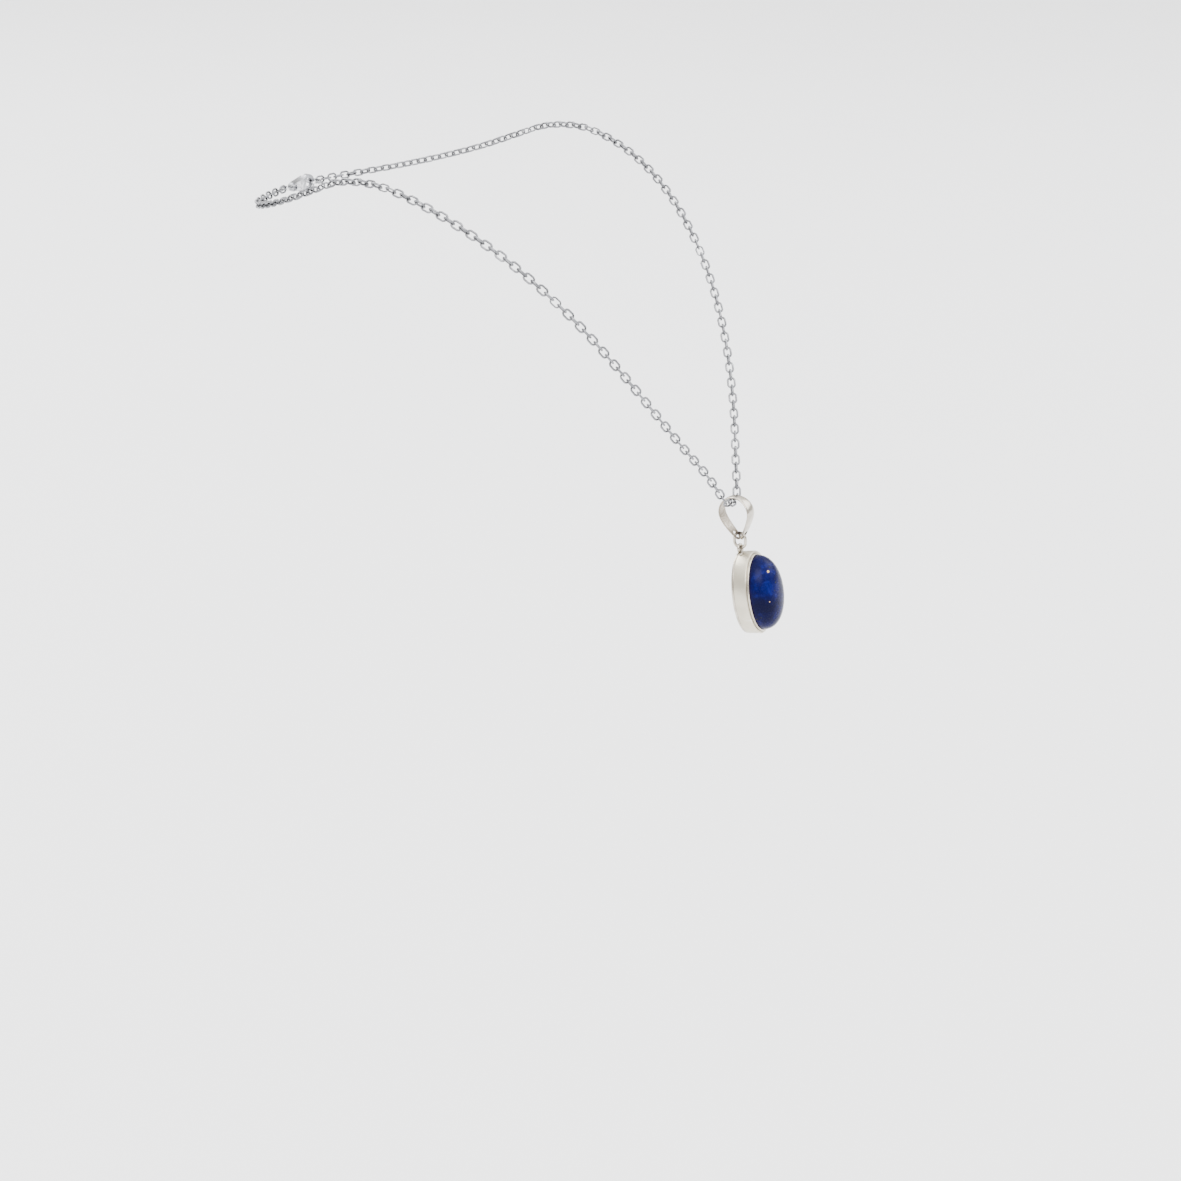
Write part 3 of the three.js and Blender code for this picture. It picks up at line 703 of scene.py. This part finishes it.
# ---- bezel and stone ----
bezel = {
    "tilt": 13.5, "yaw": 5.0, "halfWidth": 7.7, "halfHeight": 11.2, "plate": 0.7, "gap": 0.03,
    "wall": 0.57, "lip": 0.4, "wallTop": 4.2, "lipTop": 4.75, "steps": 160,
    "softCorner": 0.05, "wallRounds": (0.26, 0.12), "lipRounds": (0.22, 0.14),
    "lipSeat": 4.3, "cornerSteps": 6,
    "lipGapShadeTop": 4.35, "lipGapShadeFall": 0.4, "plateRound": 0.22, "plateRoundAbove": 0.4,
    "loopRadius": 1.0, "loopWire": 0.35, "loopCentre": 12.25, "loopDepth": 0.7, "loopPlay": 0.04,
    "plateShares": (0.0, 0.3, 0.6, 0.85),
}
stone = {
    "girdle": 4.3, "top": 10.3, "fullness": 2.4, "around": 128, "rise": 40, "rimBand": 0.9,
    "seat": 2.5, "floorShare": 0.6,
}

pendantLean = Matrix.Rotation(math.radians(90 - bezel["tilt"]), 3, "X")
pendantTurn = np.array(pendantLean @ Matrix.Rotation(math.radians(bezel["yaw"]), 3, "Y"))
loopInside = bezel["loopCentre"] + bezel["loopRadius"] - bezel["loopWire"]
hangHeight = loopInside - dropRing["wireRadius"] - bezel["loopPlay"]
hangPoint = np.array([0, hangHeight, bezel["loopDepth"]])
pendantPlace = ringEnd - pendantTurn @ hangPoint


def hang(points):
    # from the pendant's own axes (x across, y up, z out of its front) to where it hangs
    return np.asarray(points) @ pendantTurn.T + pendantPlace


def roundedSection(corners, radii, steps):
    # a closed outline with each corner cut back by its radius and bridged by a quarter wave
    corners, radii = np.array(corners, float), np.array(radii, float)
    before, after = unit(np.roll(corners, 1, 0) - corners), unit(np.roll(corners, -1, 0) - corners)
    t = np.linspace(0, 1, steps)[None, :, None]
    start, end = corners + before * radii[:, None], corners + after * radii[:, None]
    curve = (1 - t) ** 2 * start[:, None] + 2 * (1 - t) * t * corners[:, None] + t**2 * end[:, None]
    return curve.reshape(-1, 2)


def ovalBand(section):
    # each section point (out, up) carried round the oval: ((a + out) cos u, (b + out) sin u, up)
    u = np.linspace(0, 2 * math.pi, bezel["steps"], endpoint=False)[:, None]
    x = np.cos(u) * (bezel["halfWidth"] + section[None, :, 0])
    y = np.sin(u) * (bezel["halfHeight"] + section[None, :, 0])
    z = np.broadcast_to(section[None, :, 1], x.shape)
    return np.stack([x, y, z], axis=-1).reshape(-1, 3), gridFaces(*x.shape, True, True)


def makeBezel():
    floor = bezel["plate"] + bezel["gap"]
    wallIn = bezel["wall"] + bezel["gap"]
    lipIn = wallIn + bezel["lip"]
    wallTop, lipTop, soft = bezel["wallTop"], bezel["lipTop"], bezel["softCorner"]
    wallSection = roundedSection(
        [(-bezel["wall"], floor), (0, floor), (0, wallTop), (-bezel["wall"], wallTop)],
        [soft, soft, *bezel["wallRounds"]], bezel["cornerSteps"],
    )
    lipSection = roundedSection(
        [
            (-lipIn, floor), (-wallIn, floor), (-wallIn, lipTop),
            (-lipIn - soft, lipTop), (-lipIn, bezel["lipSeat"]),
        ],
        [soft, soft, *bezel["lipRounds"], soft], bezel["cornerSteps"],
    )
    for name, node, section, metal in (
        ("bezel_box_wall", "bezel_wall", wallSection, wallSilver),
        ("bezel_turned_lip", "bezel_lip", lipSection, warmSilver),
    ):
        points, faces = ovalBand(section)
        lipGapShade = np.zeros(len(points))
        if node == "bezel_lip":
            # painted shade on the lip below its seat, down in the gap beside the stone
            lipGapShade = np.clip((bezel["lipGapShadeTop"] - points[:, 2]) / bezel["lipGapShadeFall"], 0, 1)
        piece = makePiece(name, hang(points), faces, metal, {"paintedShadeAndTone": lipGapShade}, sharp=50)
        fitPiece(piece, "silver", node)


def makeBackPlate():
    # rings of a flat oval, shrinking by shares towards the middle of both faces. The rim's rings
    # step in by edge (1 - q)^2 and up by edge q^2 from the lower face, and mirror that above
    edge = bezel["plateRound"]
    q = np.linspace(0, 1, bezel["cornerSteps"])
    rimOut = np.concatenate([-edge * (1 - q) ** 2, [0.0], (-edge * (1 - q) ** 2)[::-1]])
    above = bezel["plate"] - edge * bezel["plateRoundAbove"] * q[::-1] ** 2
    rimUp = np.concatenate([edge * q**2, [bezel["plate"] / 2], above])
    share = np.array(bezel["plateShares"])
    flatOut = np.zeros(len(share))
    u = np.linspace(0, 2 * math.pi, bezel["steps"], endpoint=False)[:, None]
    a, b = bezel["halfWidth"], bezel["halfHeight"]
    out = np.concatenate([flatOut, rimOut, flatOut])
    scale = np.concatenate([share, np.ones(len(rimOut)), share[::-1]])
    up = np.concatenate([flatOut, rimUp, flatOut + bezel["plate"]])
    x = np.cos(u) * (a + out) * scale
    y = np.sin(u) * (b + out) * scale
    z = np.broadcast_to(up[None], x.shape)
    points = np.stack([x, y, z], axis=-1).reshape(-1, 3)
    faces = gridFaces(*x.shape, wrapRows=True)
    flat = {"paintedShadeAndTone": np.zeros(len(points))}
    piece = makePiece("bezel_back_sheet", hang(points), faces, warmSilver, flat, sharp=50)
    fitPiece(piece, "silver", "bezel_back_plate")


def makeStone():
    # girdle then dome: out = cos(v)^(2/n), up = girdle + (top - girdle) sin(v)^(2/n)
    inset = bezel["wall"] + bezel["lip"] + 2 * bezel["gap"]
    a, b = bezel["halfWidth"] - inset, bezel["halfHeight"] - inset
    v = np.linspace(0, math.pi / 2, stone["rise"])
    power = 2 / stone["fullness"]
    out = np.concatenate([[0.0, stone["floorShare"], 1.0, 1.0], np.cos(v) ** power])
    out[-1] = 0.0
    floor = bezel["plate"] + bezel["gap"]
    dome = stone["girdle"] + (stone["top"] - stone["girdle"]) * np.sin(v) ** power
    up = np.concatenate([[floor, floor, floor, stone["seat"]], dome])
    u = np.linspace(0, 2 * math.pi, stone["around"], endpoint=False)[:, None]
    x, y = np.cos(u) * a * out, np.sin(u) * b * out
    z = np.broadcast_to(up[None], x.shape)
    points = np.stack([x, y, z], axis=-1).reshape(-1, 3)
    # painted shade: a dark band round the stone's foot, where it goes under the lip
    rimShade = np.clip((stone["girdle"] + stone["rimBand"] - points[:, 2]) / stone["rimBand"], 0, 1)
    faces = gridFaces(*x.shape, wrapRows=True)
    piece = makePiece("lapis_cabochon", hang(points), faces, lapisStone(), {"rimShade": rimShade}, sharp=60)
    fitPiece(piece, "lapis", "cabochon_stone")


lapis = {
    "navy": (0.0002, 0.0004, 0.016), "ultramarine": (0.0004, 0.0011, 0.046),
    # the rim colour is painted shade where the stone goes under the lip
    "light": (0.006, 0.010, 0.12), "rimShade": (0.010, 0.003, 0.006),
    "gold": (0.55, 0.38, 0.16), "greenGold": (0.018, 0.020, 0.012),
    "rough": 0.24, "gleam": 0.07, "refraction": 1.5, "warpSize": 180.0, "warpReach": 3.5,
    "clouds": {"Size": 230.0, "Low": 0.36, "High": 0.62},
    "wisps": {"Size": 620.0, "Low": 0.46, "High": 0.68},
    "grain": {"Size": 2400.0, "Low": 0.3, "High": 0.7},
    "blueShares": {"clouds": 0.45, "grain": 0.12, "pale": 0.5, "dark": -0.7, "side": 0.5},
    "lightShares": {"wisps": 0.6, "pale": 0.5, "dark": -0.6, "side": 0.6},
    "blueLevels": {"From Min": -0.25, "From Max": 0.85},
    "lightLevels": {"From Min": 0.0, "From Max": 1.1},
    "speckSize": 620.0, "speckLevels": {"From Min": 0.10, "From Max": 0.17, "To Min": 1.0, "To Max": 0.0},
    "speckRarity": 0.80, "fleckEdge": 0.35, "goldMetal": 0.9, "speckMetal": 0.4,
    "grainRough": 0.05, "scratchRough": 0.10, "goldRough": 0.15, "scratchWidth": 0.008,
    "waveSize": 180.0, "waveDepth": 0.03, "grainDepth": 0.0015, "scratchDepth": -0.0008,
    "bump": {"Strength": 0.4, "Distance": 0.001},
    "darkSpot": (-4.0, -1.0, 7.5), "darkReach": 6.0,
    "sideSpot": (6.4, -2.5, 5.5), "sideReach": 6.5,
    "lightSpot": (-2.5, 6.5, 8.0), "lightReach": 5.5,
    "flecks": [((-2.35, 6.6, 8.80), 0.60), ((-4.6, -0.9, 9.10), 0.28)],
}


def spotMask(tree, where, place, reach):
    # 1 at a place on the stone, falling to 0 at the reach
    centre = tuple(hang(place) * mm)
    away = addNode(tree, "ShaderNodeVectorMath", props={"operation": "DISTANCE"}, inputs={1: centre})
    fall = addNode(
        tree, "ShaderNodeMapRange", props={"interpolation_type": "SMOOTHSTEP"},
        inputs={"From Min": 0.0, "From Max": reach * mm, "To Min": 1.0, "To Max": 0.0},
    )
    tree.links.new(where, away.inputs[0])
    tree.links.new(away.outputs["Value"], fall.inputs["Value"])
    return fall.outputs["Result"]


def levelled(tree, value, levels):
    node = addNode(tree, "ShaderNodeMapRange", inputs=levels)
    tree.links.new(value, node.inputs["Value"])
    return node.outputs["Result"]


def joined(tree, operation, first, second):
    # two masks multiplied together, or the greater of them
    node = addNode(tree, "ShaderNodeMath", props={"operation": operation})
    tree.links.new(first, node.inputs[0])
    tree.links.new(second, node.inputs[1])
    return node.outputs[0]


def over(tree, value, limit):
    node = addNode(tree, "ShaderNodeMath", props={"operation": "GREATER_THAN"}, inputs={1: limit})
    tree.links.new(value, node.inputs[0])
    return node.outputs[0]


def lapisPatches(tree, where, moved):
    # the masks that the blues are mixed by
    def patch(vector, settings):
        return placeGroup(tree, softPatches, vector, **settings).outputs["Mask"]

    return {
        "clouds": patch(moved, lapis["clouds"]),
        "wisps": patch(moved, lapis["wisps"]),
        "grain": patch(where, lapis["grain"]),
        "dark": spotMask(tree, moved, lapis["darkSpot"], lapis["darkReach"]),
        "pale": spotMask(tree, moved, lapis["lightSpot"], lapis["lightReach"]),
        "side": spotMask(tree, moved, lapis["sideSpot"], lapis["sideReach"]),
    }


def lapisSpecks(tree, moved):
    # small round grains in the rare cells of a cell pattern
    cells = addNode(tree, "ShaderNodeTexVoronoi", inputs={"Scale": lapis["speckSize"]})
    tree.links.new(moved, cells.inputs["Vector"])
    near = levelled(tree, cells.outputs["Distance"], lapis["speckLevels"])
    pick = addNode(tree, "ShaderNodeSeparateColor")
    tree.links.new(cells.outputs["Color"], pick.inputs[0])
    return joined(tree, "MULTIPLY", near, over(tree, pick.outputs[0], lapis["speckRarity"]))


def lapisGold(tree, where):
    # the placed flecks, each a disc where its spot mask is above the fleck's edge
    gold = None
    for place, reach in lapis["flecks"]:
        fleck = over(tree, spotMask(tree, where, place, reach), lapis["fleckEdge"])
        gold = fleck if gold is None else joined(tree, "MAXIMUM", gold, fleck)
    return gold


def lapisStone():
    material, tree, shader = startMaterial("lapisStone")
    link = tree.links.new
    where = addNode(tree, "ShaderNodeTexCoord").outputs["Object"]
    warp = addNode(tree, "ShaderNodeTexNoise", inputs={"Scale": lapis["warpSize"], "Detail": 3.0})
    reach = lapis["warpReach"] * mm
    bent = addNode(
        tree, "ShaderNodeVectorMath", props={"operation": "MULTIPLY_ADD"}, inputs={1: (reach, reach, reach)},
    )
    link(where, warp.inputs["Vector"])
    link(warp.outputs["Color"], bent.inputs[0])
    link(where, bent.inputs[2])
    moved = bent.outputs["Vector"]
    masks = lapisPatches(tree, where, moved)
    blue = addMasks(tree, [(masks[part], share) for part, share in lapis["blueShares"].items()])
    blue = levelled(tree, blue, lapis["blueLevels"])
    colour = mixColour(tree, blue, lapis["navy"], lapis["ultramarine"])
    pale = addMasks(tree, [(masks[part], share) for part, share in lapis["lightShares"].items()])
    pale = levelled(tree, joined(tree, "MULTIPLY", pale, masks["clouds"]), lapis["lightLevels"])
    colour = mixColour(tree, pale, colour, lapis["light"])
    specks = lapisSpecks(tree, moved)
    colour = mixColour(tree, specks, colour, lapis["greenGold"])
    gold = lapisGold(tree, where)
    colour = mixColour(tree, gold, colour, lapis["gold"])
    # painted shade round the stone's foot, mixed towards the dark rim colour
    rimShade = addNode(tree, "ShaderNodeAttribute", props={"attribute_name": "rimShade"}).outputs["Fac"]
    link(mixColour(tree, rimShade, colour, lapis["rimShade"]), shader.inputs["Base Color"])
    metalShare = addMasks(tree, [(gold, lapis["goldMetal"]), (specks, lapis["speckMetal"])])
    link(metalShare, shader.inputs["Metallic"])
    scratches = placeGroup(tree, hairScratches, where, Width=lapis["scratchWidth"]).outputs["Mask"]
    rough = addNode(
        tree, "ShaderNodeMath", props={"operation": "ADD", "use_clamp": True}, inputs={1: lapis["rough"]},
    )
    roughParts = [
        (masks["grain"], lapis["grainRough"]),
        (scratches, lapis["scratchRough"]),
        (gold, lapis["goldRough"]),
    ]
    link(addMasks(tree, roughParts), rough.inputs[0])
    link(rough.outputs[0], shader.inputs["Roughness"])
    waves = placeGroup(tree, handWaviness, where, Size=lapis["waveSize"]).outputs["Height"]
    heightParts = [
        (waves, lapis["waveDepth"]),
        (masks["grain"], lapis["grainDepth"]),
        (scratches, lapis["scratchDepth"]),
    ]
    bump = addNode(tree, "ShaderNodeBump", inputs=lapis["bump"])
    link(addMasks(tree, heightParts), bump.inputs["Height"])
    link(bump.outputs["Normal"], shader.inputs["Normal"])
    shader.inputs["IOR"].default_value = lapis["refraction"]
    shader.inputs["Specular IOR Level"].default_value = lapis["gleam"]
    return material


# The loop's wire: the angles of its ring, how far its two ends part, and the feet as
# (across, from the wall's top, from the ring's depth)
bezelLoop = {
    "turn": (-50, -25, 0, 25, 50, 75, 90, 105, 130, 155, 180, 205, 230), "part": 0.16, "sunk": 0.75,
    "frontFoot": [(-1.75, -0.45, 0.75), (-0.9, -0.28, 0.60), (0.0, -0.36, 0.40)],
    "backFoot": [(0.0, -0.17, -0.40), (0.9, -0.02, -0.48), (1.75, -0.28, -0.60)],
    "spanSteps": 6, "sides": 12, "capSteps": 4, "shadeTop": 0.9, "shadeFall": 0.6, "shade": 0.25,
}


def makeBezelLoop():
    # one wire: from a foot on the wall, across and round the ring, and back down across itself
    r, deep = bezel["loopRadius"], bezel["loopDepth"]
    base = np.array([0, bezel["halfHeight"] + bezel["loopWire"] * bezelLoop["sunk"], deep])
    turn = np.radians(np.array(bezelLoop["turn"]))
    parted = deep + np.linspace(bezelLoop["part"], -bezelLoop["part"], len(turn))
    ring = np.stack([r * np.cos(turn), bezel["loopCentre"] + r * np.sin(turn), parted], axis=1)
    first, last = base + bezelLoop["frontFoot"], base + bezelLoop["backFoot"]
    line = smoothLine(np.vstack([first, ring, last]), bezelLoop["spanSteps"], closed=False)
    front = np.array([0, 0, 1.0])
    points, faces = wire(line, bezel["loopWire"], bezelLoop["sides"], front, False, bezelLoop["capSteps"])
    # painted shade on the wire near its feet, where it meets the wall
    above = bezel["halfHeight"] + bezelLoop["shadeTop"] - points[:, 1]
    low = np.clip(above / bezelLoop["shadeFall"], 0, 1) * bezelLoop["shade"]
    piece = makePiece("bezel_loop_wire", hang(points), faces, warmSilver, {"paintedShadeAndTone": low})
    fitPiece(piece, "silver", "bezel_loop")


makeBezel()
makeBackPlate()
makeStone()
makeBezelLoop()
print("bezel and stone set")

# ---- clasp ----
clasp = {
    "eyeCentre": -4.2, "eyeGap": 0.2, "hookCentre": 2.0, "hookReach": 0.95, "pivot": (-1.9, 0.4, -0.5),
    "springRadius": 0.47, "springWire": 0.085, "springTurns": 2.5, "springRise": 0.3,
    "springSteps": 90, "springSides": 10, "springCaps": 3,
    "claspRingRadius": 1.65, "claspRingWire": 0.27, "endRingRadius": 1.9, "endRingWire": 0.36,
    "clawBevel": 0.14, "gateBevel": 0.10, "rivetBevel": 0.08, "bevelAngle": 50,
    "ringSteps": 56, "ringSides": 14,
}
claspPlace = jointPlace["clasp_roll"]


def softenNode(node, name, bevel):
    # a welded copy of the CAD solid with its edges rounded over
    mesh = frame["nodes"][node].data.copy()
    mesh.name = name
    mesh.materials.clear()
    mesh.materials.append(claspSteel)
    work = bmesh.new()
    work.from_mesh(mesh)
    bmesh.ops.remove_doubles(work, verts=work.verts, dist=1e-6)
    bmesh.ops.dissolve_limit(work, angle_limit=math.radians(1), verts=work.verts, edges=work.edges)
    work.to_mesh(mesh)
    work.free()
    piece = bpy.data.objects.new(name, mesh)
    bpy.context.scene.collection.objects.link(piece)
    edge = piece.modifiers.new("roundedEdges", "BEVEL")
    edge.width, edge.segments, edge.limit_method = bevel * mm, 3, "ANGLE"
    edge.angle_limit = math.radians(clasp["bevelAngle"])
    edge.harden_normals = False
    mesh.polygons.foreach_set("use_smooth", np.ones(len(mesh.polygons), bool))
    mesh.set_sharp_from_angle(angle=math.radians(clasp["bevelAngle"]))
    fitPiece(piece, "clasp_metal", node)


def makeClaspRing(name, node, radius, thick, x):
    # a round wire ring lying flat, its centre at x along the clasp
    line = ovalLine(radius, 0.0, clasp["ringSteps"]) + (x, 0, 0) + claspPlace
    points, faces = wire(line, thick, clasp["ringSides"], np.array([0, 0, 1.0]), True)
    fitPiece(makePiece(name, points, faces, claspSteel), "clasp_metal", node)


def makeClaspRings():
    claspRing, endRing = clasp["claspRingRadius"], clasp["endRingRadius"]
    eyeSide = clasp["eyeCentre"] - clasp["eyeGap"] - claspRing
    hookSide = clasp["hookCentre"] + clasp["hookReach"] + endRing
    makeClaspRing("clasp_jump_ring", "clasp_ring", claspRing, clasp["claspRingWire"], eyeSide)
    makeClaspRing("end_jump_ring", "end_ring", endRing, clasp["endRingWire"], hookSide)


def makeSpring():
    # (R cos a, rise a, R sin a) about the pin
    a = np.linspace(0, 2 * math.pi * clasp["springTurns"], clasp["springSteps"])
    rise = clasp["springRise"] * (a / a[-1] - 0.5)
    line = np.stack([clasp["springRadius"] * np.cos(a), rise, clasp["springRadius"] * np.sin(a)], axis=1)
    line = line + np.array(clasp["pivot"]) + claspPlace
    pinWay = np.array([0, 1.0, 0])
    points, faces = wire(
        line, clasp["springWire"], clasp["springSides"], pinWay, False, clasp["springCaps"],
    )
    fitPiece(makePiece("clasp_coil_spring", points, faces, claspSteel), "clasp_metal", "clasp_spring")


softenNode("clasp_body", "clasp_claw", clasp["clawBevel"])
softenNode("clasp_lever", "clasp_gate", clasp["gateBevel"])
softenNode("clasp_pin", "clasp_rivet", clasp["rivetBevel"])
makeClaspRings()
makeSpring()
print("clasp made")

# ---- floor and light ----
studio = {
    "floorDrop": -0.242, "floorSize": 8.0, "floorColour": (0.86, 0.865, 0.875),
    "floorMottle": 0.985, "floorRough": 0.7, "floorLines": 9,
    "floorPatches": {"Size": 6.0, "Low": 0.2, "High": 0.8},
    "worldTop": (1.0, 1.0, 1.0), "worldSide": (0.30, 0.295, 0.29), "worldLow": (0.55, 0.55, 0.56),
    "worldStrength": 4.0, "sideStart": 0.42, "sideEnd": 0.64,
}
lampSet = [
    # name, place, aim, width, height, watts, colour
    ("keyLamp", (-1.5, -0.9, 1.6), (0, -0.08, -0.03), 1.8, 1.5, 62.0, (1.0, 0.985, 0.96)),
    ("fillLamp", (1.4, -1.1, 1.0), (0, -0.08, -0.03), 1.6, 1.2, 26.0, (0.95, 0.97, 1.0)),
    ("backLamp", (0.2, 1.5, 1.2), (0, -0.08, -0.03), 1.6, 1.0, 36.0, (1.0, 1.0, 1.0)),
]


def makeFloor():
    # a plain sheet, with very faint mottling so that it isn't dead flat
    half, lines = studio["floorSize"] / 2, studio["floorLines"]
    line = np.linspace(-half, half, lines)
    x, y = np.meshgrid(line, line, indexing="ij")
    points = np.stack([x, y, np.full_like(x, studio["floorDrop"])], axis=-1).reshape(-1, 3) / mm
    material, tree, shader = startMaterial("paleFloor")
    where = addNode(tree, "ShaderNodeTexCoord").outputs["Object"]
    patches = placeGroup(tree, softPatches, where, **studio["floorPatches"]).outputs["Mask"]
    colour = studio["floorColour"]
    mottled = tuple(c * studio["floorMottle"] for c in colour)
    tree.links.new(mixColour(tree, patches, colour, mottled), shader.inputs["Base Color"])
    shader.inputs["Roughness"].default_value = studio["floorRough"]
    floor = makePiece("studioFloor", points, gridFaces(lines, lines), material)


def makeWorld():
    world = bpy.data.worlds.new("softStudio")
    bpy.context.scene.world = world
    world.use_nodes = True
    tree = world.node_tree
    sky = next(n for n in tree.nodes if n.type == "BACKGROUND")
    where = addNode(tree, "ShaderNodeTexCoord").outputs["Generated"]
    parts = addNode(tree, "ShaderNodeSeparateXYZ")
    ramp = addNode(tree, "ShaderNodeValToRGB")
    level = addNode(tree, "ShaderNodeMapRange", inputs={"From Min": -1.0, "From Max": 1.0})
    ramp.color_ramp.elements[0].color = (*studio["worldLow"], 1)
    ramp.color_ramp.elements[1].color = (*studio["worldTop"], 1)
    for place in (studio["sideStart"], studio["sideEnd"]):
        ramp.color_ramp.elements.new(place).color = (*studio["worldSide"], 1)
    tree.links.new(where, parts.inputs[0])
    tree.links.new(parts.outputs["Z"], level.inputs["Value"])
    tree.links.new(level.outputs["Result"], ramp.inputs["Fac"])
    tree.links.new(ramp.outputs["Color"], sky.inputs["Color"])
    sky.inputs["Strength"].default_value = studio["worldStrength"]


def makeLamps():
    for name, place, aim, width, height, watts, colour in lampSet:
        data = bpy.data.lights.new(name, "AREA")
        data.shape, data.size, data.size_y = "RECTANGLE", width, height
        data.energy, data.color = watts, colour
        lamp = bpy.data.objects.new(name, data)
        bpy.context.scene.collection.objects.link(lamp)
        lamp.location = place
        lamp.rotation_mode = "QUATERNION"
        lamp.rotation_quaternion = (Vector(aim) - Vector(place)).to_track_quat("-Z", "Y")


makeFloor()
makeWorld()
makeLamps()
print("floor and lamps set")
